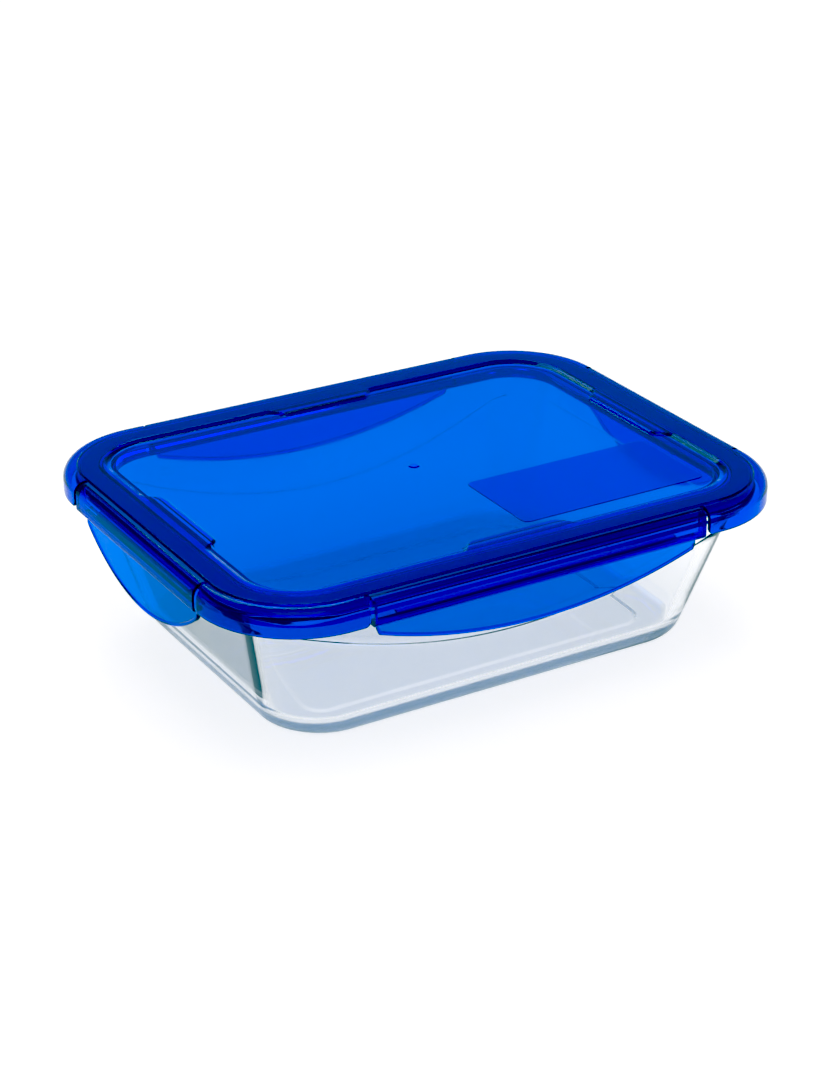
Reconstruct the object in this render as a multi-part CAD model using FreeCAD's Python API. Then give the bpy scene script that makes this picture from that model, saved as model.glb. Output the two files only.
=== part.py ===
import FreeCAD, Part
import math
import os

# A rectangular glass food dish with a translucent clip-on lid.
# Millimetres, +Z up. The origin is on the table under the middle of the dish,
# X runs along the long side, and the front is at -Y.
# "Inset" always means the distance inward from the lid's outer face.

# --- lid outline -------------------------------------------------------------
LID_LENGTH = 240.0
LID_WIDTH = 186.0
LID_CORNER_R = 40.0

# --- glass dish --------------------------------------------------------------
DISH_HEIGHT = 62.0           # table to the top of the glass rim
WALL = 4.5                   # glass wall, measured level
FLOOR = 5.0                  # glass under the food
DRAFT_LONG = 14.6            # lean of the two end walls, degrees
DRAFT_SHORT = 13.3           # lean of the front and back walls, degrees
FLANGE_INSET = 5.0           # outer edge of the glass rim
FLANGE_THICK = 3.8
FLANGE_EDGE_R = 1.3
END_WALL_INSET = 14.0        # outer face of the end walls, just under the rim
SIDE_WALL_INSET = 11.7       # outer face of the front and back walls, just under the rim
WALL_CORNER_R = 23.0
BASE_CORNER_R = 25.5
UNDER_RIM_R = 2.5
MOUTH_R = 2.5
BASE_EDGE_R = 7.0
FLOOR_EDGE_R = 9.0
FOOT_WIDTH = 9.0             # flat ring the dish stands on
FOOT_RECESS = 0.8
SCALLOP_DEPTH = 0.45         # shallow step in the front and back walls under the flaps
SCALLOP_LOW_Z = 29.5
SCALLOP_R = 208.0

# --- seal --------------------------------------------------------------------
SEAL_HEIGHT = 2.9            # from the glass rim to the underside of the lid
SEAL_INSET = 7.1
SEAL_WIDTH = 6.8
SEAL_BASE = 1.5
LIP_WIDTH = 1.3
LIP_INSETS = (8.0, 10.5)

# --- lid shell ---------------------------------------------------------------
SKIN = 1.6                   # shoulder plate over the seal
SKIRT = 1.8
SKIRT_HEIGHT = 10.1          # corner skirts, below the shoulder's top
SKIRT_END_R = 2.0
SHOULDER_R = 4.8
RING_RISE = 0.6              # ring above the shoulder's top
RING_CHAMFER = 0.6
PANEL_DROP = 1.0             # panel below the ring
PANEL_SLOPE = 2.2            # level length of the slope from ring to panel
PLUG_WALL = 1.6
PLUG_DEPTH = 2.5             # how far the plug wall reaches into the mouth
PLUG_CLEARANCE = 0.4
CHANNEL_WALL = 1.4
CHANNEL_CLEARANCE = 0.1      # seal to the walls that hold it
RIM_CLEARANCE = 0.5          # channel walls above the glass rim
PAD_REACH = 4.6              # stacking pads, inward from the foot of the slope
PAD_RAMP = 8.0
PAD_LONG = 34.0              # flat part of the front and back pads
PAD_SHORT = 40.0             # flat part of the end pads
PAD_SKIN = 1.7
GATE_R = 2.0
GATE_RISE = 0.35

# --- flaps -------------------------------------------------------------------
FLAP_MARGIN_LONG = 9.0       # front and back flaps end this far before the lid's corners turn
FLAP_MARGIN_SHORT = 3.5      # left and right flaps
FLAP_GAP = 1.8               # to the corner skirts
HINGE_INSET = 4.7            # axis of the living hinges
HINGE_GAP = 1.4              # width of the thin web
WEB = 0.4
BAR_HEIGHT = 10.9            # from the shoulder's top to the bar's lower edge
BAR_EDGE_R = 1.2
LEDGE = 1.6
END_RIB = 1.5
TONGUE = 1.2
TONGUE_CLEARANCE = 0.4       # tongue to the glass rim
TONGUE_SIDE = 2.5            # tongue ends, in from the bar's ends
TONGUE_END = 4.6             # straight part of the tongue's ends
TONGUE_LONG_SAG = 11.5       # depth of the curved edge, front and back
TONGUE_SHORT_SAG = 16.7      # depth of the curved edge, left and right
TONGUE_END_R = 3.0
BEAD = 1.5
BEAD_RISE = 0.5
CATCH_REACH = 2.6
CATCH_HEIGHT = 2.0
CATCH_TIP = 0.6
CATCH_CLEARANCE = 0.3
CATCH_END = 11.0             # catch ends, in from the flap's ends

# --- write-on field ----------------------------------------------------------
FIELD_LENGTH = 82.0
FIELD_WIDTH = 41.5
FIELD_CORNER_R = 3.0
FIELD_THICK = 0.25
FIELD_MARGIN_RIGHT = 11.4    # to the foot of the ring's slope
FIELD_MARGIN_FRONT = 8.4

# --- levels and places that follow -------------------------------------------
FLANGE_Z = DISH_HEIGHT - FLANGE_THICK
CROWN_Z = DISH_HEIGHT + SEAL_HEIGHT
SHOULDER_Z = CROWN_Z + SKIN
RING_Z = SHOULDER_Z + RING_RISE
PANEL_Z = RING_Z - PANEL_DROP
SKIRT_Z = SHOULDER_Z - SKIRT_HEIGHT
BAR_Z = SHOULDER_Z - BAR_HEIGHT
LEAN_LONG = math.tan(math.radians(DRAFT_LONG))
LEAN_SHORT = math.tan(math.radians(DRAFT_SHORT))
PLUG_INSET = END_WALL_INSET + WALL + LEAN_LONG * (PLUG_DEPTH - FLANGE_THICK) + PLUG_CLEARANCE
RING_INNER = PLUG_INSET - PANEL_SLOPE
FLAP_LONG = LID_LENGTH - 2 * (LID_CORNER_R + FLAP_MARGIN_LONG)
FLAP_SHORT = LID_WIDTH - 2 * (LID_CORNER_R + FLAP_MARGIN_SHORT)
WEB_OUTER = HINGE_INSET - HINGE_GAP / 2
WEB_INNER = HINGE_INSET + HINGE_GAP / 2
TONGUE_INNER = FLANGE_INSET - TONGUE_CLEARANCE
OVERRUN = 1.0                # how far cutting tools reach past what they cut

UP = FreeCAD.Vector(0, 0, 1)


def point(x, y, z):
    return FreeCAD.Vector(x, y, z)


def round_rectangle(half_x, half_y, radius, z):
    """A closed level outline with round corners."""
    wire = []
    inner_x = half_x - radius
    inner_y = half_y - radius
    diagonal = radius * math.sqrt(0.5)
    for turn in range(4):
        spin = FreeCAD.Rotation(UP, 90 * turn)
        long_x, long_y = (inner_x, inner_y) if turn % 2 == 0 else (inner_y, inner_x)
        start = spin.multVec(point(long_x + radius, -long_y, z))
        end = spin.multVec(point(long_x + radius, long_y, z))
        middle = spin.multVec(point(long_x + diagonal, long_y + diagonal, z))
        after = spin.multVec(point(long_x, long_y + radius, z))
        wire.append(Part.LineSegment(start, end).toShape())
        wire.append(Part.Arc(end, middle, after).toShape())
    return Part.Wire(wire)


def block(half_x, half_y, radius, low, high):
    face = Part.Face(round_rectangle(half_x, half_y, radius, low))
    return face.extrude(point(0, 0, high - low))


def lid_outline(inset, z):
    return round_rectangle(LID_LENGTH / 2 - inset, LID_WIDTH / 2 - inset, LID_CORNER_R - inset, z)


def lid_block(inset, low, high):
    return Part.Face(lid_outline(inset, low)).extrude(point(0, 0, high - low))


def lid_band(outer, inner, low, high):
    """A closed band that follows the lid's outline between two insets."""
    return lid_block(outer, low, high).cut(lid_block(inner, low - OVERRUN, high + OVERRUN))


def loft(*wires):
    return Part.makeLoft(list(wires), True, True)


def level_edges(shape, z):
    """Every edge that lies at one height."""
    flat = []
    for edge in shape.Edges:
        if abs(edge.BoundBox.ZMin - z) < 1e-4 and abs(edge.BoundBox.ZMax - z) < 1e-4:
            flat.append(edge)
    return flat


def inside_edges(shape, z, inset):
    """Level edges that lie inside the lid's outline at an inset."""
    limit_x = LID_LENGTH / 2 - inset
    limit_y = LID_WIDTH / 2 - inset
    found = []
    for edge in level_edges(shape, z):
        box = edge.BoundBox
        if max(box.XMax, -box.XMin) < limit_x and max(box.YMax, -box.YMin) < limit_y:
            found.append(edge)
    return found


def wall_outline(z, shrink):
    """The dish wall's outer outline at a height, moved inward by shrink."""
    drop = FLANGE_Z - z
    half_x = LID_LENGTH / 2 - END_WALL_INSET - LEAN_LONG * drop - shrink
    half_y = LID_WIDTH / 2 - SIDE_WALL_INSET - LEAN_SHORT * drop - shrink
    corner = WALL_CORNER_R + (BASE_CORNER_R - WALL_CORNER_R) * drop / FLANGE_Z - shrink
    return round_rectangle(half_x, half_y, corner, z)


def make_scallops():
    """Steps cut under the front and back flaps, bounded below by an arc."""
    top = FLANGE_Z - UNDER_RIM_R
    centre_z = SCALLOP_LOW_Z + SCALLOP_R
    half = math.sqrt(SCALLOP_R ** 2 - (centre_z - top) ** 2)
    y = -LID_WIDTH / 2
    chord = Part.LineSegment(point(half, y, top), point(-half, y, top)).toShape()
    sag = Part.Arc(point(-half, y, top), point(0, y, SCALLOP_LOW_Z), point(half, y, top)).toShape()
    region = Part.Face(Part.Wire([chord, sag])).extrude(point(0, LID_WIDTH, 0))
    core = loft(wall_outline(0, SCALLOP_DEPTH), wall_outline(FLANGE_Z, SCALLOP_DEPTH))
    return region.cut(core)


def make_glass_dish():
    body = loft(wall_outline(0, 0), wall_outline(FLANGE_Z, 0))
    body = body.makeFillet(BASE_EDGE_R, level_edges(body, 0))
    flange = lid_block(FLANGE_INSET, FLANGE_Z, DISH_HEIGHT)
    flange = flange.makeFillet(FLANGE_EDGE_R, level_edges(flange, DISH_HEIGHT))
    dish = body.fuse(flange).removeSplitter()
    dish = dish.makeFillet(UNDER_RIM_R, inside_edges(dish, FLANGE_Z, SIDE_WALL_INSET - OVERRUN))
    dish = dish.cut(make_scallops())
    cavity = loft(wall_outline(FLOOR, WALL), wall_outline(DISH_HEIGHT + OVERRUN, WALL))
    cavity = cavity.makeFillet(FLOOR_EDGE_R, level_edges(cavity, FLOOR))
    dish = dish.cut(cavity)
    dish = dish.makeFillet(MOUTH_R, inside_edges(dish, DISH_HEIGHT, SIDE_WALL_INSET))
    recess = loft(wall_outline(0, BASE_EDGE_R + FOOT_WIDTH),
                  wall_outline(FOOT_RECESS, BASE_EDGE_R + FOOT_WIDTH + FOOT_RECESS * 2))
    return dish.cut(recess)


def make_seal():
    base_z = CROWN_Z - SEAL_BASE
    seal = lid_band(SEAL_INSET, SEAL_INSET + SEAL_WIDTH, base_z, CROWN_Z)
    for inset in LIP_INSETS:
        seal = seal.fuse(lid_band(inset, inset + LIP_WIDTH, DISH_HEIGHT, base_z))
    return seal.removeSplitter()


def pad_shape(inset_x, half_flat, reach, low, high):
    """A pad against the ring, with sloping ends, drawn on the right-hand end of X."""
    outer = inset_x + OVERRUN * 3
    solid = []
    for z in (low, high):
        grow = (high - z) * PANEL_SLOPE / 2
        near = outer
        far = inset_x - reach - grow
        wide = half_flat + PAD_RAMP + grow
        slim = half_flat + grow
        corners = [point(near, -wide, z), point(inset_x, -wide, z), point(far, -slim, z),
                   point(far, slim, z), point(inset_x, wide, z), point(near, wide, z)]
        solid.append(Part.makePolygon(corners + corners[:1]))
    return loft(*solid)


def at_each_end(half_long, half_short, maker):
    """Places one shape per side: right, back, left, front."""
    placed = []
    for turn, (reach, flat) in enumerate([(half_long, PAD_SHORT), (half_short, PAD_LONG)] * 2):
        shape = maker(reach, flat / 2)
        shape.rotate(point(0, 0, 0), UP, 90 * turn)
        placed.append(shape)
    return placed


def make_lid_shell():
    low = SKIRT_Z
    outer = lid_block(0, low, SHOULDER_Z)
    outer = outer.makeFillet(SHOULDER_R, level_edges(outer, SHOULDER_Z))
    inner = lid_block(SKIRT, low - OVERRUN, CROWN_Z)
    inner = inner.makeFillet(SHOULDER_R - SKIRT, level_edges(inner, CROWN_Z))
    shell = outer.cut(inner)
    ring = loft(lid_outline(WEB_INNER, SHOULDER_Z), lid_outline(WEB_INNER + RING_CHAMFER, RING_Z))
    shell = shell.fuse(ring)
    rise = PANEL_SLOPE / PANEL_DROP
    tray = loft(lid_outline(PLUG_INSET, PANEL_Z),
                lid_outline(RING_INNER - OVERRUN * rise, RING_Z + OVERRUN))
    half_x = LID_LENGTH / 2 - PLUG_INSET
    half_y = LID_WIDTH / 2 - PLUG_INSET
    for pad in at_each_end(half_x, half_y,
                           lambda reach, flat: pad_shape(reach, flat, PAD_REACH, PANEL_Z, RING_Z)):
        tray = tray.cut(pad)
    shell = shell.cut(tray)
    hollow_x = half_x - PLUG_WALL - OVERRUN * 3
    hollow_y = half_y - PLUG_WALL - OVERRUN * 3
    hollow_reach = PAD_REACH - PLUG_WALL - OVERRUN * 3 - PAD_SKIN / 2
    for hollow in at_each_end(hollow_x, hollow_y,
                              lambda reach, flat: pad_shape(reach, flat - PAD_SKIN, hollow_reach,
                                                            CROWN_Z, RING_Z - PAD_SKIN)):
        shell = shell.cut(hollow)
    shell = shell.fuse(lid_band(PLUG_INSET, PLUG_INSET + PLUG_WALL, DISH_HEIGHT - PLUG_DEPTH, PANEL_Z))
    wall_low = DISH_HEIGHT + RIM_CLEARANCE
    channel = SEAL_INSET - CHANNEL_CLEARANCE
    shell = shell.fuse(lid_band(channel - CHANNEL_WALL, channel, wall_low, CROWN_Z))
    channel = SEAL_INSET + SEAL_WIDTH + CHANNEL_CLEARANCE
    shell = shell.fuse(lid_band(channel, channel + CHANNEL_WALL, wall_low + SEAL_BASE / 2, CROWN_Z))
    shell = shell.fuse(Part.makeCylinder(GATE_R, PANEL_Z + GATE_RISE - CROWN_Z, point(0, 0, CROWN_Z)))
    for half, across, turn in window_places():
        shell = shell.cut(on_side(make_window(half), across, turn))
    return shell.removeSplitter()


def window_places():
    """Half width, distance from the middle and turn of the four flap windows."""
    long_half = FLAP_LONG / 2 + FLAP_GAP
    short_half = FLAP_SHORT / 2 + FLAP_GAP
    return [(long_half, LID_WIDTH / 2, 0), (short_half, LID_LENGTH / 2, 90),
            (long_half, LID_WIDTH / 2, 180), (short_half, LID_LENGTH / 2, 270)]


def make_window(half):
    """Cuts the room for a flap and rounds the ends of the skirts beside it."""
    bottom = SKIRT_Z - OVERRUN
    top = RING_Z + OVERRUN
    round_45 = SKIRT_END_R * (1 - math.sqrt(0.5))
    spots = [point(half, -OVERRUN, top), point(half, -OVERRUN, SKIRT_Z + SKIRT_END_R),
             point(half + round_45, -OVERRUN, SKIRT_Z + round_45),
             point(half + SKIRT_END_R, -OVERRUN, SKIRT_Z),
             point(half + SKIRT_END_R, -OVERRUN, bottom)]
    mirrored = [point(-spot.x, spot.y, spot.z) for spot in spots]
    edges = []
    for down in (spots, mirrored):
        edges.append(Part.LineSegment(down[0], down[1]).toShape())
        edges.append(Part.Arc(down[1], down[2], down[3]).toShape())
        edges.append(Part.LineSegment(down[3], down[4]).toShape())
    edges.append(Part.LineSegment(spots[0], mirrored[0]).toShape())
    edges.append(Part.LineSegment(spots[4], mirrored[4]).toShape())
    outline = Part.Wire(Part.__sortEdges__(edges))
    return Part.Face(outline).extrude(point(0, OVERRUN + WEB_INNER, 0))


def swept(corners, half):
    """Extrudes a closed section of straight and arc pieces along local X."""
    edges = []
    for piece in corners:
        spots = [point(-half, u, z) for u, z in piece]
        if len(spots) == 2:
            edges.append(Part.LineSegment(*spots).toShape())
        else:
            edges.append(Part.Arc(*spots).toShape())
    return Part.Face(Part.Wire(edges)).extrude(point(2 * half, 0, 0))


def on_shoulder(radius, inset):
    """Height of a shoulder arc of one radius at an inset."""
    return SHOULDER_Z - SHOULDER_R + math.sqrt(radius ** 2 - (SHOULDER_R - inset) ** 2)


def shoulder_arc(radius, inset):
    """Three points on a shoulder arc, from the web down to the vertical face."""
    spring_z = SHOULDER_Z - SHOULDER_R
    start = math.acos((SHOULDER_R - inset) / radius)
    spots = []
    for angle in (start, start / 2, 0):
        spots.append((SHOULDER_R - radius * math.cos(angle), spring_z + radius * math.sin(angle)))
    return spots


def make_bar(half):
    """The flap's moulded bar: shoulder, face, ledge and two end ribs."""
    outer = shoulder_arc(SHOULDER_R, WEB_OUTER)
    inner = shoulder_arc(SHOULDER_R - SKIRT, WEB_OUTER)
    round_45 = BAR_EDGE_R * (1 - math.sqrt(0.5))
    ledge_z = BAR_Z + LEDGE
    bar = swept([outer,
                 (outer[2], (0, BAR_Z + BAR_EDGE_R)),
                 ((0, BAR_Z + BAR_EDGE_R), (round_45, BAR_Z + round_45), (BAR_EDGE_R, BAR_Z)),
                 ((BAR_EDGE_R, BAR_Z), (TONGUE_INNER, BAR_Z)),
                 ((TONGUE_INNER, BAR_Z), (TONGUE_INNER, ledge_z)),
                 ((TONGUE_INNER, ledge_z), (SKIRT, ledge_z)),
                 ((SKIRT, ledge_z), inner[2]),
                 inner[::-1],
                 (inner[0], outer[0])], half)
    rib = swept([((SKIRT, ledge_z), inner[2]),
                 inner[::-1],
                 (inner[0], (WEB_OUTER, ledge_z)),
                 ((WEB_OUTER, ledge_z), (SKIRT, ledge_z))], END_RIB / 2)
    for side in (-1, 1):
        end = rib.copy()
        end.translate(point(side * (half - END_RIB / 2), 0, 0))
        bar = bar.fuse(end)
    return bar


def make_tongue(half, sag):
    """The thin curved pull under the bar, with a bead along its lower edge."""
    half -= TONGUE_SIDE
    shoulder_z = BAR_Z - TONGUE_END
    low_z = shoulder_z - sag
    radius = (half ** 2 + sag ** 2) / (2 * sag)
    outer = TONGUE_INNER - TONGUE
    top_z = BAR_Z + LEDGE / 2
    sheets = []
    for y, thick in ((outer, TONGUE), (outer - BEAD_RISE, BEAD_RISE)):
        corners = [point(-half, y, top_z), point(-half, y, shoulder_z), point(half, y, shoulder_z),
                   point(half, y, top_z)]
        left = Part.LineSegment(corners[0], corners[1]).toShape()
        curve = Part.Arc(corners[1], point(0, y, low_z), corners[2]).toShape()
        right = Part.LineSegment(corners[2], corners[3]).toShape()
        top = Part.LineSegment(corners[3], corners[0]).toShape()
        sheet = Part.Face(Part.Wire([left, curve, right, top])).extrude(point(0, thick, 0))
        ends = [edge for edge in sheet.Edges if is_lower_corner(edge, half, shoulder_z)]
        sheets.append(sheet.makeFillet(TONGUE_END_R, ends))
    sheet, bead = sheets
    centre = point(0, outer - BEAD_RISE - OVERRUN, low_z + radius)
    inside = Part.makeCylinder(radius - BEAD, BEAD_RISE + OVERRUN * 2, centre, point(0, 1, 0))
    above = Part.makeBox(2 * half, BEAD_RISE + OVERRUN * 2, BAR_Z,
                         point(-half, centre.y, BAR_Z - BEAD))
    bead = bead.cut(inside).cut(above)
    return sheet.fuse(bead)


def is_lower_corner(edge, half, z):
    box = edge.BoundBox
    at_end = abs(abs(box.Center.x) - half) < 1e-4
    return at_end and abs(box.ZMin - z) < 1e-4 and box.ZLength < 1e-4


def make_flap(length, sag):
    half = length / 2
    return make_bar(half).fuse(make_tongue(half, sag)).removeSplitter()


def make_web(length):
    top = on_shoulder(SHOULDER_R, WEB_OUTER)
    return Part.makeBox(length, HINGE_GAP, WEB, point(-length / 2, WEB_OUTER, top - WEB))


def make_catch(length):
    """The hooked rib that clips under the glass rim."""
    top = FLANGE_Z - CATCH_CLEARANCE
    tip = TONGUE_INNER + CATCH_REACH
    return swept([((TONGUE_INNER, top), (tip, top)),
                  ((tip, top), (tip, top - CATCH_TIP)),
                  ((tip, top - CATCH_TIP), (TONGUE_INNER, top - CATCH_HEIGHT)),
                  ((TONGUE_INNER, top - CATCH_HEIGHT), (TONGUE_INNER, top))], length / 2 - CATCH_END)


def make_write_on_field():
    field = block(FIELD_LENGTH / 2, FIELD_WIDTH / 2, FIELD_CORNER_R, PANEL_Z, PANEL_Z + FIELD_THICK)
    right = LID_LENGTH / 2 - PLUG_INSET - FIELD_MARGIN_RIGHT
    front = LID_WIDTH / 2 - PLUG_INSET - FIELD_MARGIN_FRONT
    field.translate(point(right - FIELD_LENGTH / 2, FIELD_WIDTH / 2 - front, 0))
    return field


def on_side(shape, across, turn):
    """Moves a shape drawn at the lid's outer face to its side of the lid."""
    shape.translate(point(0, -across, 0))
    shape.rotate(point(0, 0, 0), UP, turn)
    return shape


def write(shape, name):
    assert shape.isValid() and shape.Volume > 0, name
    assert len(shape.Solids) == 1, name
    shape.Solids[0].exportStep("parts/" + name + ".step")


os.makedirs("parts", exist_ok=True)
write(make_glass_dish(), "glass_dish")
write(make_lid_shell(), "lid_shell")
write(make_seal(), "seal")
write(make_write_on_field(), "write_on_field")

SIDES = [("front", FLAP_LONG, TONGUE_LONG_SAG, LID_WIDTH / 2, 0),
         ("right", FLAP_SHORT, TONGUE_SHORT_SAG, LID_LENGTH / 2, 90),
         ("back", FLAP_LONG, TONGUE_LONG_SAG, LID_WIDTH / 2, 180),
         ("left", FLAP_SHORT, TONGUE_SHORT_SAG, LID_LENGTH / 2, 270)]

for side, length, sag, across, turn in SIDES:
    write(on_side(make_flap(length, sag), across, turn), "flap_" + side)
    write(on_side(make_web(length), across, turn), "hinge_" + side)
    write(on_side(make_catch(length), across, turn), "catch_" + side)
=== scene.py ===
import math
from collections import namedtuple

import bmesh
import bpy
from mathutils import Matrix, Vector


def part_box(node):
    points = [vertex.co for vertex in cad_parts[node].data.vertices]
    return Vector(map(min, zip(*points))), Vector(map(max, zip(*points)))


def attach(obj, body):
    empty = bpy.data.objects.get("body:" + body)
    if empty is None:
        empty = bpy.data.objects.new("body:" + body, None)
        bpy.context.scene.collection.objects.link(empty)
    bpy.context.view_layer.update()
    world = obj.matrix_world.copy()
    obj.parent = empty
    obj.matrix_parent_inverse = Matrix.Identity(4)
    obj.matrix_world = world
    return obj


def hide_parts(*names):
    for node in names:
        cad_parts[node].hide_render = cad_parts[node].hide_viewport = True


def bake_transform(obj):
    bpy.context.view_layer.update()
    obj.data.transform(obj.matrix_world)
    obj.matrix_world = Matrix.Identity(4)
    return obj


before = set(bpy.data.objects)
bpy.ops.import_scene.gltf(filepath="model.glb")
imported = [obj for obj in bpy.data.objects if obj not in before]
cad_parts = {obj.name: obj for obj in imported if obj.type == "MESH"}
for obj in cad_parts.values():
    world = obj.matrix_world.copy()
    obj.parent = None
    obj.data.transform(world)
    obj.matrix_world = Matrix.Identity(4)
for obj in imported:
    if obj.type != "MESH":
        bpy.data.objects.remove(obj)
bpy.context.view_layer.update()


# --- Glass dish ------------------------------------------------------------------------
# One piece of clear pressed glass: thick tapered walls, a flat rim that stands out all round,
# and a stippled base with a shallow recess that leaves a foot ring. The mould leaves a fine
# step in the outside of the wall, which swings low in the middle of each long side.

dish_high = Vector(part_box("glass_dish")[1])
rim_top = dish_high.z
rim_corner = 0.035
rim_thickness = 0.0038
rim_edge = 0.0013
rim_under = rim_top - rim_thickness
end_overhang = 0.0090
side_overhang = 0.0067
glass_wall = 0.0045
glass_floor = 0.0050
end_lean = math.tan(math.radians(14.6))
side_lean = math.tan(math.radians(13.3))
mean_lean = (end_lean + side_lean) / 2
wall_corner_top = 0.0230
wall_corner_base = 0.0255
rim_low_edge = 0.0006
rim_fillet = 0.0025
mouth_round = 0.0025
floor_round = 0.0090
base_edge = 0.0070
foot_inset = 0.0160
foot_round = 0.0016
foot_recess = 0.0008
stipple_top = 0.0016
step_half_width = 0.0004
step_depth = 0.00060
step_depth_ends = 0.00015
step_fade_from = 0.080
step_fade_length = 0.020
step_low = 0.0295
step_radius = 0.208
step_blend = 0.0040
step_high = 0.0500

Spot = namedtuple("Spot", "side cut along_x along_y out_x out_y")


def spots_round(long_cuts, short_cuts, corner_steps):
    """Places round a rounded rectangle, from the left end of the front, anticlockwise."""
    spots = []
    for side, cuts, facing in (("front", long_cuts, -90), ("right", short_cuts, 0),
                               ("back", long_cuts, 90), ("left", short_cuts, 180)):
        out_x = round(math.cos(math.radians(facing)))
        out_y = round(math.sin(math.radians(facing)))
        for cut in cuts:
            spots.append(Spot(side, cut, out_x - out_y * cut, out_y + out_x * cut, out_x, out_y))
        for step in range(1, corner_steps):
            angle = math.radians(facing + 90 * step / corner_steps)
            spots.append(Spot("corner", step / corner_steps, out_x - out_y, out_y + out_x,
                              math.cos(angle), math.sin(angle)))
    return spots


def outline_point(spot, half_x, half_y, corner, z):
    """Where a spot lies on a rounded rectangle of a given size."""
    x = spot.along_x * (half_x - corner) + spot.out_x * corner
    y = spot.along_y * (half_y - corner) + spot.out_y * corner
    return (x, y, z)


def rounded(corners, steps=6):
    """A path through (across, up, radius) corners with an arc in place of each one."""
    path = [corners[0][:2]]
    for before, here, after in zip(corners, corners[1:], corners[2:]):
        middle = Vector(here[:2])
        back = Vector(before[:2]) - middle
        on = Vector(after[:2]) - middle
        angle = back.angle(on, math.pi)
        if here[2] == 0:
            path.append(here[:2])
            continue
        if angle > math.pi - 0.001:
            path.extend([here[:2]] * (steps + 1))
            continue
        reach = min(here[2] / math.tan(angle / 2), back.length * 0.49, on.length * 0.49)
        radius = reach * math.tan(angle / 2)
        inward = (back.normalized() + on.normalized()).normalized()
        centre = middle + inward * (radius / math.sin(angle / 2))
        start = middle + back.normalized() * reach - centre
        sweep = start.angle_signed(middle + on.normalized() * reach - centre)
        for step in range(steps + 1):
            turn = -sweep * step / steps
            path.append((centre.x + start.x * math.cos(turn) - start.y * math.sin(turn),
                         centre.y + start.x * math.sin(turn) + start.y * math.cos(turn)))
    path.append(corners[-1][:2])
    return path


class Skin:
    """The faces of one moulded or pressed piece, laid row by row."""

    def __init__(self):
        self.points = []
        self.faces = []

    def lay(self, row):
        first = len(self.points)
        self.points.extend(row)
        return list(range(first, len(self.points)))

    def join(self, row, after, closed=True):
        count = len(row)
        for here in range(count if closed else count - 1):
            there = (here + 1) % count
            self.faces.append((row[here], row[there], after[there], after[here]))

    def close(self, row, hub):
        centre = self.lay([hub])[0]
        for here, there in zip(row, row[1:] + row[:1]):
            self.faces.append((here, there, centre))

    def cap(self, row):
        self.faces.append(tuple(row))

    def piece(self, name, material):
        mesh = bpy.data.meshes.new(name)
        mesh.from_pydata(self.points, [], self.faces)
        work = bmesh.new()
        work.from_mesh(mesh)
        bmesh.ops.remove_doubles(work, verts=work.verts, dist=2e-6)
        bmesh.ops.dissolve_degenerate(work, edges=work.edges, dist=1e-7)
        bmesh.ops.recalc_face_normals(work, faces=work.faces)
        work.to_mesh(mesh)
        work.free()
        mesh.materials.append(material)
        mesh.shade_smooth()
        mesh.set_sharp_from_angle(angle=math.radians(35))
        made = bpy.data.objects.new(name, mesh)
        bpy.context.collection.objects.link(made)
        return made


def even_cuts(count):
    return [2 * step / count - 1 for step in range(count + 1)]


def wall_point(spot, z, shrink):
    """A point on the outside of the wall at a height, moved in by shrink."""
    drop = rim_under - z
    half_x = dish_high.x - end_overhang - end_lean * drop - shrink
    half_y = dish_high.y - side_overhang - side_lean * drop - shrink
    corner = wall_corner_top + (wall_corner_base - wall_corner_top) * drop / rim_under - shrink
    return outline_point(spot, half_x, half_y, corner, z)


def rim_point(spot, inset, z):
    return outline_point(spot, dish_high.x - inset, dish_high.y - inset, rim_corner - inset, z)


def eased(share):
    """Eases a share from 0 to 1 and holds it there."""
    share = min(1, max(0, share))
    return share * share * (3 - 2 * share)


def step_height(spot):
    """Where the fine step in the wall runs: an arc under each long side, level round the ends."""
    if spot.side in ("right", "left"):
        return step_high
    across = wall_point(spot, step_high, 0)[0]
    arc = step_low + step_radius - math.sqrt(step_radius ** 2 - across ** 2)
    near = max(step_blend - abs(arc - step_high), 0) / step_blend
    return min(arc, step_high) - near * near * step_blend / 4


def step_in(spot):
    """How deep the step is: deepest under the long sides, faint round the ends."""
    across = abs(wall_point(spot, step_high, 0)[0])
    fade = 1.0 if spot.side in ("right", "left") else (across - step_fade_from) / step_fade_length
    return step_depth + (step_depth_ends - step_depth) * eased(fade)


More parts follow.
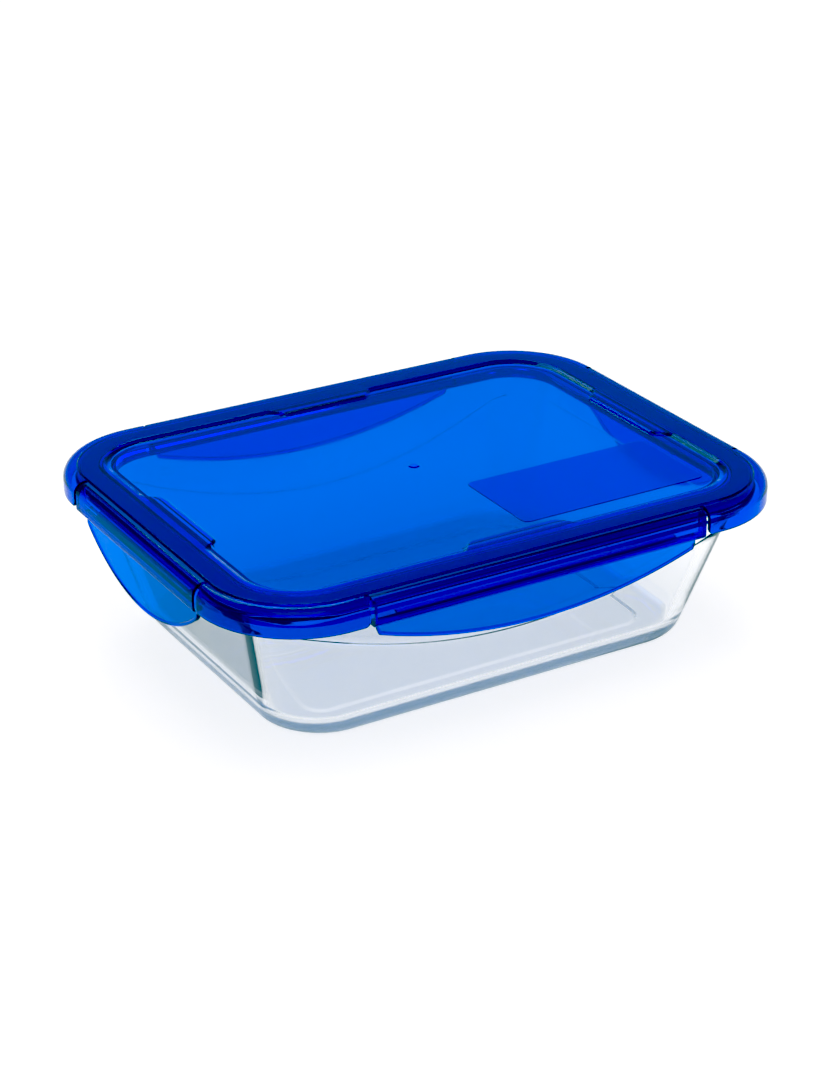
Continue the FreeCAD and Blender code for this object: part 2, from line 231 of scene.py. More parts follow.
def make_dish_skin(spots):
    """Up the outside from the middle of the base, over the rim and down the inside."""
    skin = Skin()
    base_out = -mean_lean * rim_under
    mouth_out = mean_lean * rim_thickness - glass_wall
    floor_out = -mean_lean * (rim_under - glass_floor) - glass_wall
    low_path = rounded([(base_out - foot_inset - 0.004, foot_recess, 0),
                        (base_out - foot_inset - foot_round, foot_recess, foot_round),
                        (base_out - foot_inset, 0, foot_round),
                        (base_out, 0, base_edge),
                        (base_out / 2, rim_under / 2, 0)], 8)[:-1]
    rows = []
    for out, z in low_path:
        shrink = -mean_lean * (rim_under - z) - out
        rows.append(skin.lay([wall_point(spot, z, shrink) for spot in spots]))
    first = rows[0]
    wall_start = low_path[-1][1]
    wall_end = rim_under - 0.0022
    for share in (0.25, 0.5, 0.75, 0.92):
        rows.append(skin.lay([wall_point(spot, wall_start + (step_height(spot) - wall_start) * share, 0)
                              for spot in spots]))
    for rise, depth in ((-1, 0), (-0.375, 0.12), (0.375, 0.88), (1, 1)):
        rows.append(skin.lay([wall_point(spot, step_height(spot) + rise * step_half_width,
                                         step_in(spot) * depth) for spot in spots]))
    for share in (0.2, 0.5, 0.8):
        rows.append(skin.lay([wall_point(spot, step_height(spot) + (wall_end - step_height(spot)) * share,
                                         step_in(spot) * (1 - share)) for spot in spots]))
    under = rounded([(-mean_lean * 0.006, rim_under - 0.006, 0), (0, rim_under, rim_fillet),
                     (0.004, rim_under, 0)], 7)[1:-1]
    for out, z in under:
        shrink = -mean_lean * (rim_under - z) - out
        rows.append(skin.lay([wall_point(spot, z, shrink) for spot in spots]))
    edge = rounded([(0.003, rim_under, 0), (0, rim_under, rim_low_edge), (0, rim_top, rim_edge),
                    (0.003, rim_top, 0)], 6)[1:-1]
    for inset, z in edge:
        rows.append(skin.lay([rim_point(spot, inset, z) for spot in spots]))
    inside = rounded([(mouth_out + 0.004, rim_top, 0), (mouth_out, rim_top, mouth_round),
                      (floor_out, glass_floor, floor_round), (floor_out - 0.012, glass_floor, 0)], 9)[1:]
    for out, z in inside:
        shrink = -mean_lean * (rim_under - z) - out
        rows.append(skin.lay([wall_point(spot, z, shrink) for spot in spots]))
    for row, after in zip(rows, rows[1:]):
        skin.join(row, after)
    skin.close(first, (0, 0, foot_recess))
    skin.close(rows[-1], (0, 0, glass_floor))
    return skin


def mottle(nodes, links, scale):
    """Noise in the object's own space."""
    place = nodes.new("ShaderNodeTexCoord")
    noise = nodes.new("ShaderNodeTexNoise")
    noise.inputs["Scale"].default_value = scale
    noise.inputs["Detail"].default_value = 2.0
    links.new(place.outputs["Object"], noise.inputs["Vector"])
    return noise.outputs["Fac"]


def spread(nodes, links, value, low, high):
    """Maps noise onto a narrow range."""
    reach = nodes.new("ShaderNodeMapRange")
    reach.inputs["From Min"].default_value = 0.3
    reach.inputs["From Max"].default_value = 0.7
    reach.inputs["To Min"].default_value = low
    reach.inputs["To Max"].default_value = high
    links.new(value, reach.inputs["Value"])
    return reach.outputs["Result"]


def clear_finish(name, faces, ior, gloss, ripple_scale, ripple, depth_colour=None, depth=0.0):
    """A see-through material. faces are two near tints that drift over the surface, gloss the
    range of roughness, ripple the height of a faint waviness, and depth how fast it colours light."""
    material = bpy.data.materials.new(name)
    material.use_nodes = True
    nodes = material.node_tree.nodes
    links = material.node_tree.links
    shader = nodes["Principled BSDF"]
    shader.inputs["Transmission Weight"].default_value = 1.0
    shader.inputs["IOR"].default_value = ior
    drift = mottle(nodes, links, ripple_scale)
    tint = nodes.new("ShaderNodeMix")
    tint.data_type = "RGBA"
    tint.inputs["A"].default_value = (*faces[0], 1)
    tint.inputs["B"].default_value = (*faces[1], 1)
    links.new(drift, tint.inputs["Factor"])
    links.new(tint.outputs["Result"], shader.inputs["Base Color"])
    sheen = spread(nodes, links, mottle(nodes, links, ripple_scale * 3), *gloss)
    links.new(sheen, shader.inputs["Roughness"])
    bump = nodes.new("ShaderNodeBump")
    bump.inputs["Distance"].default_value = ripple
    links.new(mottle(nodes, links, ripple_scale), bump.inputs["Height"])
    links.new(bump.outputs["Normal"], shader.inputs["Normal"])
    if depth:
        body = nodes.new("ShaderNodeVolumeAbsorption")
        body.inputs["Color"].default_value = (*depth_colour, 1)
        body.inputs["Density"].default_value = depth
        links.new(body.outputs["Volume"], nodes["Material Output"].inputs["Volume"])
    return material


glass_ior = 1.46
glass_depth_colour = (0.5, 0.76, 0.95)
glass_depth = 3.0
pressed_glass = clear_finish("pressed_glass", ((1.0, 1.0, 1.0), (0.985, 0.99, 0.995)), glass_ior,
                             (0.0, 0.02), 18, 0.00004, glass_depth_colour, glass_depth)
stippled_glass = clear_finish("stippled_glass_base", ((1.0, 1.0, 1.0), (0.97, 0.98, 1.0)), glass_ior,
                              (0.45, 0.6), 400, 0.00006, glass_depth_colour, glass_depth)
dish_spots = spots_round(even_cuts(48), even_cuts(36), 20)
glass_dish = make_dish_skin(dish_spots).piece("pressed_glass_dish", pressed_glass)
glass_dish.data.materials.append(stippled_glass)
for face in glass_dish.data.polygons:
    if face.center.z < stipple_top:
        face.material_index = 1
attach(glass_dish, "dish")
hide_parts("glass_dish")


# --- Seal ------------------------------------------------------------------------------
# A loop of translucent silicone, moulded on its own and pressed by hand into the channel
# under the lid. Its two lips rest on the flat top of the glass rim.

lid_low, lid_high = [Vector(corner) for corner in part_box("lid_shell")]
lid_corner = 0.040
seal_low, seal_high = [Vector(corner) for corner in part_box("seal")]
seal_inset = lid_high.x - seal_high.x
seal_width = 0.0068
seal_base = 0.0015
lip_width = 0.0013
seal_edge = 0.0003
lip_places = (0.0009, 0.0034)
lip_root = 0.0002
lip_round = 0.0005
air_film = 0.00002


def lid_point(spot, inset, z):
    """A point at an inset from the lid's outer face."""
    return outline_point(spot, lid_high.x - inset, lid_high.y - inset, lid_corner - inset, z)


def sweep_round(spots, section):
    """Carries one closed section all the way round under the lid."""
    skin = Skin()
    rows = [skin.lay([lid_point(spot, inset, z) for spot in spots]) for inset, z in section]
    for row, after in zip(rows, rows[1:] + rows[:1]):
        skin.join(row, after)
    return skin


def seal_section():
    """The seal cut across: a flat strip with two lips under it."""
    top = seal_high.z - air_film
    under = seal_high.z - seal_base
    low = seal_low.z + air_film
    left = seal_inset
    right = seal_inset + seal_width
    middle = (under + top) / 2
    corners = [(left, middle, 0), (left, top, seal_edge),
               (right, top, seal_edge), (right, under, seal_edge)]
    for place in lip_places[::-1]:
        near = left + place
        far = near + lip_width
        corners += [(far, under, lip_root), (far, low, lip_round),
                    (near, low, lip_round), (near, under, lip_root)]
    corners += [(left, under, seal_edge), (left, middle, 0)]
    return rounded(corners, 3)[:-1]


silicone = clear_finish("milky_silicone", ((0.86, 0.89, 0.95), (0.8, 0.84, 0.92)), 1.41,
                        (0.4, 0.5), 60, 0.00002)
milk = silicone.node_tree.nodes["Principled BSDF"]
milk.inputs["Transmission Weight"].default_value = 0.0
milk.inputs["Subsurface Weight"].default_value = 0.4
milk.inputs["Subsurface Radius"].default_value = (0.002, 0.002, 0.002)
milk.inputs["Subsurface Scale"].default_value = 1.0
seal_spots = spots_round(even_cuts(12), even_cuts(10), 16)
seal = sweep_round(seal_spots, seal_section()).piece("rim_seal", silicone)
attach(seal, "lid")
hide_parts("seal")


# --- Lid -------------------------------------------------------------------------------
# One injection moulding in deep blue see-through polypropylene: a raised ring over the rim, a
# flat panel a step lower, four pads for stacking, and skirts at the corners only, as the flaps
# fill the sides. Below are a plug wall for the mouth and two thin walls that hold the seal.

crown = seal_high.z
lid_skin = 0.0016
shoulder_top = crown + lid_skin
ring_top = lid_high.z
skirt = 0.0018
skirt_low = lid_low.z
skirt_end_round = 0.0020
shoulder = 0.0048
hinge_inner = 0.0054
ring_chamfer = 0.0006
ring_edge = 0.0006
ring_slope_round = 0.0016
skirt_outer_edge = 0.0006
skirt_inner_edge = 0.0004
panel_top = ring_top - 0.0010
ring_inner = 0.01636
panel_foot = 0.01856
plug_wall = 0.0016
plug_low = rim_top - 0.0025
channel_wall = 0.0014
channel_slack = 0.0001
channel_low = rim_top + 0.0005
wall_edge = 0.0003
plug_edge = 0.0005
plug_root = 0.0004
pad_reach = 0.0046
pad_top_extra = 0.0022
pad_foot_extra = 0.0011
pad_ramp = 0.0080
pad_flats = {"front": 0.0170, "back": 0.0170, "left": 0.0200, "right": 0.0200}
pad_pocket = 0.0005
pocket_edge = 0.0002
panel_middle = 0.0270
gate_radius = 0.0020
gate_rise = 0.00035
flap_gap = 0.0018
flap_halves = {"front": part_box("flap_front")[1][0], "back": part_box("flap_back")[1][0],
               "left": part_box("flap_left")[1][1], "right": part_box("flap_right")[1][1]}
straights = {"front": lid_high.x - lid_corner, "back": lid_high.x - lid_corner,
             "left": lid_high.y - lid_corner, "right": lid_high.y - lid_corner}


def lid_cuts(side):
    """Places along one side: close together where a skirt ends and where a pad ramps down."""
    straight = straights[side]
    window = flap_halves[side] + flap_gap
    flat = pad_flats[side]
    places = [0, flat / 2]
    places += [flat + pad_ramp * step / 12 for step in range(13)]
    clear = flat + pad_ramp
    places += [clear + (window - clear) * step / 4 for step in (1, 2, 3)]
    places += [window + skirt_end_round * share for share in (0, 0.06, 0.2, 0.4, 0.7)]
    if straight - window > skirt_end_round:
        places.append(window + skirt_end_round)
    places.append(straight)
    return sorted([-place / straight for place in places[1:]] + [place / straight for place in places])


def pad_share(spot):
    """How much of a pad there is at a place: 1 along its flat, easing to 0 down its ramps."""
    if spot.side == "corner":
        return 0.0
    return 1 - eased((abs(spot.cut) * straights[spot.side] - pad_flats[spot.side]) / pad_ramp)


def has_skirt(spot):
    """Whether the skirt hangs here, outside the window that a flap fills."""
    if spot.side == "corner":
        return True
    return abs(spot.cut) * straights[spot.side] > flap_halves[spot.side] + flap_gap - 1e-7


def lid_top_path(share):
    """From the outer edge of the ring to the flat of the panel."""
    return rounded([(hinge_inner, shoulder_top, 0),
                    (hinge_inner + ring_chamfer, ring_top, ring_edge),
                    (ring_inner + (pad_reach + pad_top_extra) * share, ring_top, ring_slope_round),
                    (panel_foot + (pad_reach + pad_foot_extra) * share, panel_top, ring_slope_round),
                    (panel_middle, panel_top, 0)])


def lid_under_path(share):
    """From the outer edge, down and up round the seal's walls and the plug wall, to the panel."""
    outer_wall = seal_inset - channel_slack
    inner_wall = seal_inset + seal_width + channel_slack
    inner_low = channel_low + seal_base / 2
    plug_in = panel_foot + plug_wall
    pocket = crown + pad_pocket * share
    return rounded([(hinge_inner, crown, 0),
                    (outer_wall - channel_wall, crown, 0),
                    (outer_wall - channel_wall, channel_low, wall_edge),
                    (outer_wall, channel_low, wall_edge),
                    (outer_wall, crown, 0),
                    (inner_wall, crown, 0),
                    (inner_wall, inner_low, wall_edge),
                    (inner_wall + channel_wall, inner_low, wall_edge),
                    (inner_wall + channel_wall, crown, wall_edge),
                    (panel_foot, crown, wall_edge),
                    (panel_foot, plug_low, plug_edge),
                    (plug_in, plug_low, plug_edge),
                    (plug_in, pocket, plug_root),
                    (plug_in + 0.0005 + 0.0009 * share, pocket, pocket_edge),
                    (plug_in + 0.0010 + 0.0012 * share, crown, pocket_edge),
                    (panel_middle, crown, 0)], 3)


def skirt_path(spot):
    """Down the outside of a corner skirt, round its lower edge and up the inside."""
    past = 1.0
    if spot.side != "corner":
        window = flap_halves[spot.side] + flap_gap
        past = (abs(spot.cut) * straights[spot.side] - window) / skirt_end_round
    past = min(1, max(0, past))
    low = skirt_low + skirt_end_round * (1 - math.sqrt(1 - (1 - past) ** 2))
    spring = shoulder_top - shoulder
    inner = shoulder - skirt
    outside = [(shoulder - shoulder * math.sin(math.pi / 2 * step / 12),
                spring + shoulder * math.cos(math.pi / 2 * step / 12)) for step in range(13)]
    inside = [(shoulder - inner * math.cos(math.pi / 2 * step / 8),
               crown - inner + inner * math.sin(math.pi / 2 * step / 8)) for step in range(9)]
    lower = rounded([(0, low + 0.0015, 0), (0, low, skirt_outer_edge),
                     (skirt, low, skirt_inner_edge), (skirt, low + 0.0015, 0)], 4)
    return outside + [(0, (spring + low) / 2)] + lower + inside


def make_lid_skin(spots):
    """The top and the underside, each from the ring's outer edge in, closed by skirts or plain edges."""
    skin = Skin()
    shares = [pad_share(spot) for spot in spots]
    shells = []
    for path_at in (lid_top_path, lid_under_path):
        paths = [path_at(share) for share in shares]
        rows = []
        for level in range(len(paths[0])):
            rows.append(skin.lay([lid_point(spot, *path[level]) for spot, path in zip(spots, paths)]))
        for row, after in zip(rows, rows[1:]):
            skin.join(row, after)
        shells.append(rows)
    top, under = shells
    gate_top = panel_top + gate_rise
    gate = rounded([(gate_radius * 1.8, panel_top, 0), (gate_radius * 1.15, panel_top, 0.0005),
                    (gate_radius * 0.85, gate_top, 0.0008), (0, gate_top, 0)], 4)[:-1]
    row = top[-1]
    for radius, z in gate:
        around = []
        for spot in spots:
            x, y, _ = lid_point(spot, panel_middle, z)
            size = math.hypot(x, y)
            around.append((x * radius / size, y * radius / size, z))
        after = skin.lay(around)
        skin.join(row, after)
        row = after
    skin.close(row, (0, 0, gate_top))
    skin.close(under[-1], (0, 0, crown))
    count = len(spots)
    hangs = [has_skirt(spots[here]) and has_skirt(spots[(here + 1) % count]) for here in range(count)]
    drops = {}
    for here in range(count):
        if hangs[here] or hangs[here - 1]:
            path = skirt_path(spots[here])
            middle = skin.lay([lid_point(spots[here], *place) for place in path])
            drops[here] = [top[0][here]] + middle + [under[0][here]]
    for here in range(count):
        there = (here + 1) % count
        if hangs[here]:
            skin.join(drops[here], drops[there], closed=False)
        else:
            skin.cap([top[0][here], top[0][there], under[0][there], under[0][here]])
        if hangs[here] != hangs[here - 1]:
            skin.cap(drops[here])
    return skin


def soften(piece, width):
    """Breaks the sharp edges of a moulding."""
    edges = piece.modifiers.new("broken_edges", "BEVEL")
    edges.width = width
    edges.segments = 2
    edges.limit_method = "ANGLE"
    edges.angle_limit = math.radians(38)
    edges.harden_normals = True


def paint_bead_shade(material, tint):
    """Paints shade onto the bead: tints the faces that a flap marks as its bead darker, standing in for the
    dark line that light bending through the thick edge makes.
    """
    nodes = material.node_tree.nodes
    links = material.node_tree.links
    base_colour = nodes["Principled BSDF"].inputs["Base Color"]
    # The bead mark carries painted shade, not a colour of the plastic.
    mark = nodes.new("ShaderNodeAttribute")
    mark.attribute_name = "bead"
    shade_mix = nodes.new("ShaderNodeMix")
    shade_mix.data_type = "RGBA"
    shade_mix.inputs["B"].default_value = (*tint, 1)
    links.new(mark.outputs["Fac"], shade_mix.inputs["Factor"])
    links.new(base_colour.links[0].from_socket, shade_mix.inputs["A"])
    links.new(shade_mix.outputs["Result"], base_colour)


plastic_ior = 1.34
plastic_depth = 4000.0
blue_plastic = clear_finish("deep_blue_polypropylene", ((0.97, 0.98, 1.0), (1.0, 1.0, 1.0)), plastic_ior,
                            (0.03, 0.07), 35, 0.00003, (0.025, 0.70, 0.975), plastic_depth)
blue_plastic.node_tree.nodes["Principled BSDF"].inputs["Specular Tint"].default_value = (0.5, 0.7, 1.0, 1)
# This tint is painted shade on the bead: the plastic there is the same as the rest of the flap.
paint_bead_shade(blue_plastic, (0.3, 0.45, 1.0))
lid_spots = spots_round(lid_cuts("front"), lid_cuts("right"), 24)
lid = make_lid_skin(lid_spots).piece("lid_moulding", blue_plastic)
soften(lid, 0.0002)
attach(lid, "lid")
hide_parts("lid_shell")


# --- Write-on field --------------------------------------------------------------------
# A rectangle on the panel that takes a marker. It is the same plastic, made matt and darker
# by a fine grain cut into the mould.

field_low, field_high = [Vector(corner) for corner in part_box("write_on_field")]
field_corner = 0.0030
field_edge = 0.0001


def make_field_skin():
    """A thin plate with softened upper edges, closed in the middle above and below."""
    skin = Skin()
    middle = (field_low + field_high) / 2
    half = (field_high - field_low) / 2
    spots = spots_round(even_cuts(8), even_cuts(6), 8)
    under = field_low.z + air_film
    top = field_high.z
    path = rounded([(0.002, under, 0), (0.0003, under, 0), (0, under, 0),
                    (0, top, field_edge), (0.0004, top, 0), (0.002, top, 0)], 3)
    rows = []
    for inset, z in path:
        ring = [outline_point(spot, half.x - inset, half.y - inset, field_corner - inset, z)
                for spot in spots]
        rows.append(skin.lay([(x + middle.x, y + middle.y, z) for x, y, z in ring]))
    for row, after in zip(rows, rows[1:]):
        skin.join(row, after)
    skin.close(rows[0], (middle.x, middle.y, under))
    skin.close(rows[-1], (middle.x, middle.y, top))
    return skin


matt_blue = clear_finish("matt_blue_grain", ((0.8, 0.84, 1.0), (0.86, 0.9, 1.0)), plastic_ior,
                         (0.1, 0.16), 900, 0.00001, (0.025, 0.1, 0.97), plastic_depth)
field = make_field_skin().piece("write_on_rectangle", matt_blue)
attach(field, "lid")
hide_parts("write_on_field")


# --- Locking flaps ---------------------------------------------------------------------
# Four flaps, moulded in one with the lid. Each has a hollow bar, as long as its window in the
# skirt, whose face carries on the lid's shoulder, and a thin curved tongue to pull, which has a
# bead along its edge. Solid ribs close the bar's ends.

bar_low = rim_top - 0.0064
hinge_outer = 0.0040
tongue_inner = 0.0046
tongue_thick = 0.0012
tongue_margin = 0.0025
tongue_end = 0.0046
tongue_end_round = 0.0030
tongue_curve_steps = 30
tongue_columns = 72
tongue_crowding = 0.6
ledge = 0.0016
end_rib = 0.0015
bar_edge = 0.0012
hollow_edge = 0.0005
bead_width = 0.0015
bead_rise = 0.0005
bead_run_out = 0.003
bead_below_bar = 0.0008
ways_out = {"front": (0, -1), "right": (1, 0), "back": (0, 1), "left": (-1, 0)}


def on_side(side, along, inset, z):
    """A point at a place along one side and at an inset from the lid's outer face."""
    out_x, out_y = ways_out[side]
    reach = (lid_high.x if out_x else lid_high.y) - inset
    return (out_x * reach - out_y * along, out_y * reach + out_x * along, z)


def shoulder_arc(radius, steps):
    """From the edge of the thin hinge down to the upright face."""
    start = math.acos((shoulder - hinge_outer) / radius)
    spring = shoulder_top - shoulder
    angles = [start * (1 - step / steps) for step in range(steps + 1)]
    return [(shoulder - radius * math.cos(angle), spring + radius * math.sin(angle)) for angle in angles]


def tongue_edge(half, low):
    """The tongue's lower edge as (along, up) points, closer at its ends, with the way in and
    the size of the bead at each."""
    reach = half - tongue_margin
    shoulder_z = bar_low - tongue_end
    sag = shoulder_z - low
    radius = (reach ** 2 + sag ** 2) / (2 * sag)
    spread_angle = math.asin(reach / radius)
    curve = [(-reach, bar_low, 0), (-reach, shoulder_z, tongue_end_round)]
    for step in range(1, 2 * tongue_curve_steps):
        angle = spread_angle * (step / tongue_curve_steps - 1)
        curve.append((radius * math.sin(angle), low + radius - radius * math.cos(angle), 0))
    curve += [(reach, shoulder_z, tongue_end_round), (reach, bar_low, 0)]
    line = [Vector(place) for place in rounded(curve, 6)]
    lengths = [0.0]
    for before, after in zip(line, line[1:]):
        lengths.append(lengths[-1] + (after - before).length)
    spaced = []
    for step in range(tongue_columns + 1):
        share = step / tongue_columns
        wanted = lengths[-1] * (share + tongue_crowding * share * (share - 0.5) * (share - 1))
        spot = max(index for index, length in enumerate(lengths) if length <= wanted + 1e-12)
        spot = min(spot, len(line) - 2)
        run = (line[spot + 1] - line[spot])
        place = line[spot] + run * ((wanted - lengths[spot]) / run.length)
        heading = run.normalized()
        bead_size = min(1, wanted / bead_run_out, (lengths[-1] - wanted) / bead_run_out)
        spaced.append((place, Vector((-heading.y, heading.x)), bead_size))
    return spaced


def make_flap_skin(side, half, low):
    """The bar in columns along the side, closed at its ends, with the tongue hung below it."""
    skin = Skin()
    outer = tongue_inner - tongue_thick
    ledge_top = bar_low + ledge
    face = shoulder_arc(shoulder, 10) + [(0, (shoulder_top - shoulder + bar_low) / 2)]
    face += rounded([(0, bar_low + 0.0025, 0), (0, bar_low, bar_edge), (outer, bar_low, 0)], 6)
    hollow = [(hinge_outer, ledge_top)]
    hollow += rounded([(hinge_outer - 0.0004, ledge_top, 0), (skirt, ledge_top, hollow_edge),
                       (skirt, ledge_top + 0.0015, 0)], 4)
    hollow += shoulder_arc(shoulder - skirt, 8)[::-1]
    edge = tongue_edge(half, low)
    reach = half - tongue_margin
    swing = math.pi / 2 * 0.9
    tops = [reach * math.sin(swing * (2 * step / tongue_columns - 1)) / math.sin(swing)
            for step in range(tongue_columns + 1)]
    beyond = [half, half - end_rib, half - (end_rib + tongue_margin) / 2]
    places = [-place for place in beyond] + tops + beyond[::-1]
    columns = []
    for along in places:
        rows = {}
        for name, path in (("face", face), ("back", [(tongue_inner, bar_low), (tongue_inner, ledge_top)]),
                           ("hollow", hollow)):
            rows[name] = skin.lay([on_side(side, along, inset, z) for inset, z in path])
        columns.append(rows)
    for index, (here, there) in enumerate(zip(columns, columns[1:])):
        middle = (places[index] + places[index + 1]) / 2
        skin.join(here["face"], there["face"], closed=False)
        skin.join(here["back"] + here["hollow"][:1], there["back"] + there["hollow"][:1], closed=False)
        skin.cap([here["hollow"][-1], there["hollow"][-1], there["face"][0], here["face"][0]])
        if abs(middle) > half - end_rib:
            skin.cap([here["hollow"][0], there["hollow"][0], there["hollow"][-1], here["hollow"][-1]])
        else:
            skin.join(here["hollow"], there["hollow"], closed=False)
        if abs(middle) > reach:
            skin.cap([here["face"][-1], there["face"][-1], there["back"][0], here["back"][0]])
    for rows in (columns[0], columns[-1]):
        skin.cap(rows["face"] + rows["back"] + [rows["hollow"][0], rows["hollow"][-1]])
    for rows in (columns[1], columns[-2]):
        skin.cap(rows["hollow"])
    bead = [(bead_width, 0), (bead_width * 0.8, 0.8), (bead_width * 0.62, 1), (bead_width * 0.3, 1)]
    before = None
    for rows, top, (place, way_in, size) in zip(columns[3:-3], tops, edge):
        root = Vector((top, bar_low))
        inner_line = place + way_in * bead_width * size
        strip = [rows["face"][-1]]
        front = [(root.lerp(inner_line, share), outer) for share in (0.25, 0.5, 0.75)]
        front += [(place + way_in * width * size, outer - bead_rise * rise * size) for width, rise in bead]
        front += [(place + way_in * 0.00015 * size, outer - bead_rise * 0.75 * size),
                  (place, outer - bead_rise * 0.3 * size),
                  (place, tongue_inner - 0.0004 * size),
                  (place + way_in * 0.0004 * size, tongue_inner)]
        front += [(root.lerp(inner_line, share), tongue_inner) for share in (0.75, 0.5, 0.25)]
        strip += skin.lay([on_side(side, spot.x, inset, spot.y) for spot, inset in front])
        strip.append(rows["back"][0])
        if before:
            skin.join(before, strip, closed=False)
        before = strip
    return skin


def mark_painted_bead_shade(flap, side):
    """Marks the faces of the bead, where shade is painted darker for the dark line that light bending
    through the thick edge makes.
    """
    out_x, out_y = ways_out[side]
    bead_face = (lid_high.x if out_x else lid_high.y) - tongue_inner + tongue_thick + bead_rise * 0.3
    marks = flap.data.attributes.new("bead", "FLOAT", "FACE")
    for face, mark in zip(flap.data.polygons, marks.data):
        outside = face.center.x * out_x + face.center.y * out_y > bead_face
        mark.value = 1.0 if outside and face.center.z < bar_low - bead_below_bar else 0.0


for side, half in flap_halves.items():
    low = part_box("flap_" + side)[0][2]
    flap = make_flap_skin(side, half, low).piece(side + "_locking_flap", blue_plastic)
    mark_painted_bead_shade(flap, side)
    soften(flap, 0.00025)
    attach(flap, side + "_flap")
    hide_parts("flap_" + side)


# --- Catch ribs ------------------------------------------------------------------------
# A hooked rib along the inside of each flap. It flexes over the glass rim when the flap is
# pressed down, and then pulls the lid tight against the seal.

catch_top = rim_under - 0.0003
catch_reach = 0.0026
catch_height = 0.0020
catch_tip = 0.0006
catch_edge = 0.0003


def make_catch_skin(side, half):
    """A short hook, flat on top where it grips the glass and sloped below."""
    skin = Skin()
    tip = tongue_inner + catch_reach
    section = rounded([(tongue_inner, catch_top, 0), (tip, catch_top, catch_edge),
                       (tip, catch_top - catch_tip, catch_edge),
                       (tongue_inner, catch_top - catch_height, 0)], 4)
    rows = []
    for along in [half * share for share in (-1, -0.5, 0, 0.5, 1)]:
        rows.append(skin.lay([on_side(side, along, inset, z) for inset, z in section]))
    for row, after in zip(rows, rows[1:]):
        skin.join(row, after)
    skin.cap(rows[0])
    skin.cap(rows[-1])
    return skin


for side in flap_halves:
    low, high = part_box("catch_" + side)
    half = high[0] if side in ("front", "back") else high[1]
    catch = make_catch_skin(side, half).piece(side + "_catch_rib", blue_plastic)
    soften(catch, 0.0002)
    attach(catch, side + "_flap")
    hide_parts("catch_" + side)


# --- Living hinges ---------------------------------------------------------------------
# The thin webs that join each flap to the lid. They are the same plastic as the lid, pressed
# thin and slightly hazed by bending.

web_thick = 0.0004
web_across = 8


def make_web_skin(side, half, top):
    """A thin strip with rows across it and along it."""
    skin = Skin()
    across = [hinge_outer + (hinge_inner - hinge_outer) * step / web_across
              for step in range(web_across + 1)]
    section = [(inset, top) for inset in across] + [(inset, top - web_thick) for inset in across[::-1]]
    rows = []
    for along in even_cuts(16):
        rows.append(skin.lay([on_side(side, along * half, inset, z) for inset, z in section]))
    for row, after in zip(rows, rows[1:]):
        skin.join(row, after)
    skin.cap(rows[0])
    skin.cap(rows[-1])
    return skin


flexed_blue = clear_finish("flexed_blue_polypropylene", ((0.05, 0.08, 0.7), (0.1, 0.13, 0.8)), plastic_ior,
                           (0.3, 0.45), 120, 0.00002)
web_shader = flexed_blue.node_tree.nodes["Principled BSDF"]
web_shader.inputs["Specular IOR Level"].default_value = 0.2
web_shader.inputs["Transmission Weight"].default_value = 0.6
for side, half in flap_halves.items():
    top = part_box("hinge_" + side)[1][2]
    web = make_web_skin(side, half, top).piece(side + "_hinge_web", flexed_blue)
    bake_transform(web)
    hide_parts("hinge_" + side)


# --- Table, lights and camera ----------------------------------------------------------
# A wide white table that glows softly, so it stays white under and round the box. The surround
# is brightest at the horizon. One soft box hangs overhead and one stands behind. The view cuts
# the faintest red and green, which leaves the blue of the plastic deep and clean.

table_half = 8.0
table_drop = 0.0002
table_glow = 0.8
table_white = (0.39, 0.41)
table_grain = 6


def make_table():
    mesh = bpy.data.meshes.new("table")
    mesh.from_pydata([(table_half * x, table_half * y, 0) for x, y in ((-1, -1), (1, -1), (1, 1), (-1, 1))],
                     [], [(0, 1, 2, 3)])
    material = bpy.data.materials.new("white_table")
    material.use_nodes = True
    nodes = material.node_tree.nodes
    links = material.node_tree.links
    shader = nodes["Principled BSDF"]
    grain = spread(nodes, links, mottle(nodes, links, table_grain), *table_white)
    links.new(grain, shader.inputs["Base Color"])
    shader.inputs["Roughness"].default_value = 1.0
    shader.inputs["Specular IOR Level"].default_value = 0.0
    shader.inputs["Emission Color"].default_value = (1, 1, 1, 1)
    shader.inputs["Emission Strength"].default_value = table_glow
    mesh.materials.append(material)
    table = bpy.data.objects.new("table", mesh)
    bpy.context.collection.objects.link(table)
    return table


table = make_table()
table.location.z = -table_drop

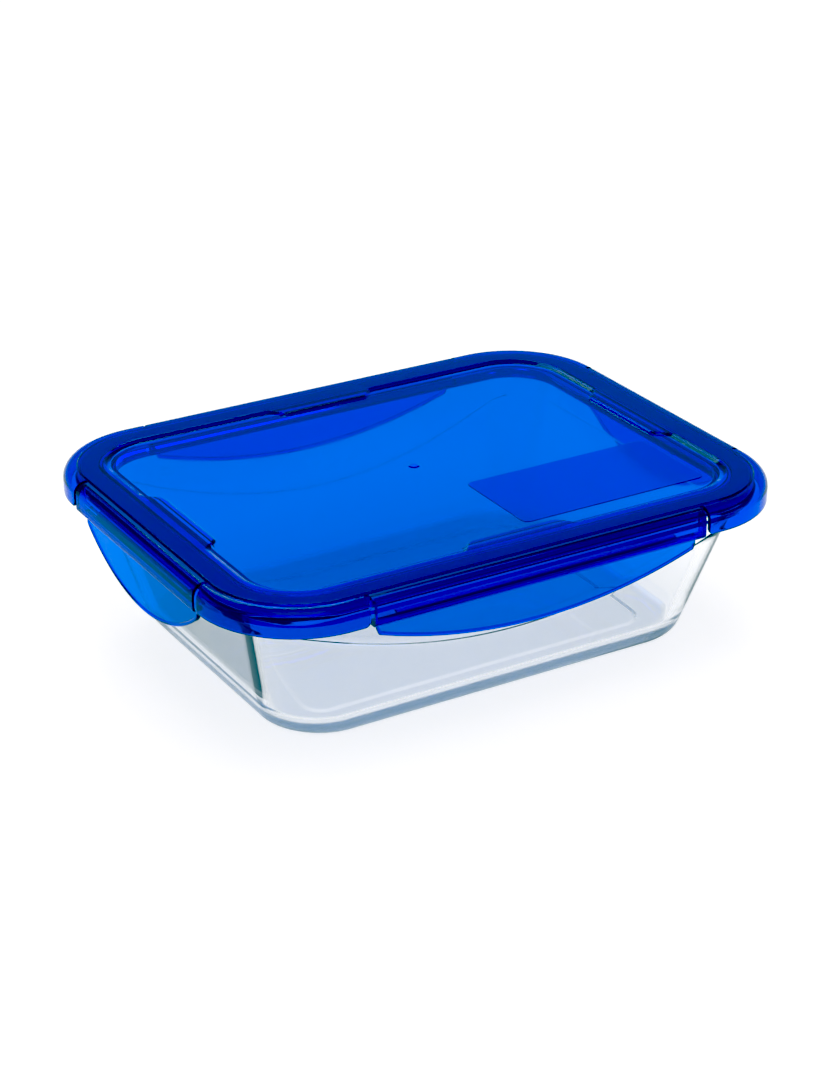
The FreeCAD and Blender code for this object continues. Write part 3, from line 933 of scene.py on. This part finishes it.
world = bpy.data.worlds.new("surround")
bpy.context.scene.world = world
world.use_nodes = True
nodes = world.node_tree.nodes
links = world.node_tree.links
direction = nodes.new("ShaderNodeTexCoord")
parts = nodes.new("ShaderNodeSeparateXYZ")
ramp = nodes.new("ShaderNodeValToRGB")
links.new(direction.outputs["Generated"], parts.inputs["Vector"])
links.new(parts.outputs["Z"], ramp.inputs["Fac"])
links.new(ramp.outputs["Color"], nodes["Background"].inputs["Color"])
ramp.color_ramp.interpolation = "EASE"
stops = [(0.0, 1.0), (0.05, 0.8), (0.2, 0.55), (0.85, 0.55), (1.0, 0.6)]
while len(ramp.color_ramp.elements) < len(stops):
    ramp.color_ramp.elements.new(0.5)
for element, (place, level) in zip(ramp.color_ramp.elements, stops):
    element.position = place
    element.color = (level, level, level, 1)


def soft_box(name, place, aim, size, power):
    light = bpy.data.lights.new(name, "AREA")
    light.shape = "RECTANGLE"
    light.size, light.size_y = size
    light.energy = power
    lamp = bpy.data.objects.new(name, light)
    bpy.context.collection.objects.link(lamp)
    lamp.location = place
    lamp.rotation_euler = (Vector(aim) - Vector(place)).to_track_quat("-Z", "Y").to_euler()


soft_box("overhead_box", (-0.15, -0.25, 1.3), (0, 0, 0.05), (0.7, 0.7), 2.5)
soft_box("rear_box", (0.20, 0.73, 0.83), (-0.11, -0.07, 0.07), (0.5, 0.4), 2.0)

aim = Vector((0.00256, 0.00352, 0.03239))
azimuth = math.radians(-30.89)
elevation = math.radians(25.34)
distance = 0.9915
camera_data = bpy.data.cameras.new("camera")
camera_data.lens = 84.12
camera_data.sensor_width = 36
camera = bpy.data.objects.new("camera", camera_data)
bpy.context.collection.objects.link(camera)
away = Vector((math.sin(azimuth) * math.cos(elevation), -math.cos(azimuth) * math.cos(elevation),
               math.sin(elevation)))
camera.location = aim + away * distance
camera.rotation_euler = (-away).to_track_quat("-Z", "Y").to_euler()
bpy.context.scene.camera = camera

black_level = (0.13, 0.028, 0.0)
view = bpy.context.scene.view_settings
view.view_transform = "Standard"
view.use_curve_mapping = True
view.curve_mapping.black_level = black_level
view.curve_mapping.update()
